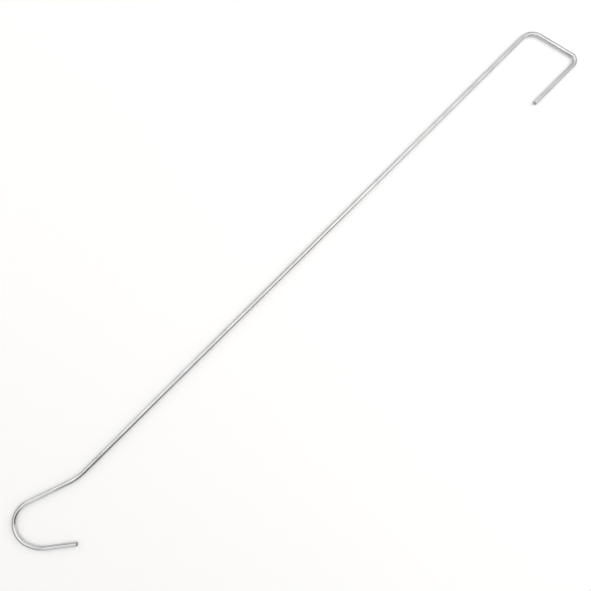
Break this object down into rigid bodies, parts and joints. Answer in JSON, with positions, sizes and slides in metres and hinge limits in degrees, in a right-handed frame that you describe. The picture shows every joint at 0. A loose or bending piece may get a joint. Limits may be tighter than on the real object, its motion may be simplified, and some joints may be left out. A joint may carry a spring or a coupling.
{
  "type": "ceiling panel hook",
  "caption": "Long flat-bent steel wire hook: a squared hook to drop over a ceiling rail, a straight shank, and a round J hook under it to carry a panel or sign.",
  "frame": {"origin": "the rail seat: middle of the inner side of the shoulder bend, on the wire's mid-plane", "axes": "+X along the straight shank towards the rail end, +Z square to the plane that the wire is bent in; both hooks open towards -Y"},
  "size_m": [0.4189, 0.0449, 0.0026],
  "materials": {
    "zinc_plated_wire": "bright zinc-plated drawn steel wire, bare grey steel at the sheared ends"
  },
  "bodies": {
    "root": {"wire_hook": "zinc_plated_wire"}
  },
  "joints": []
}
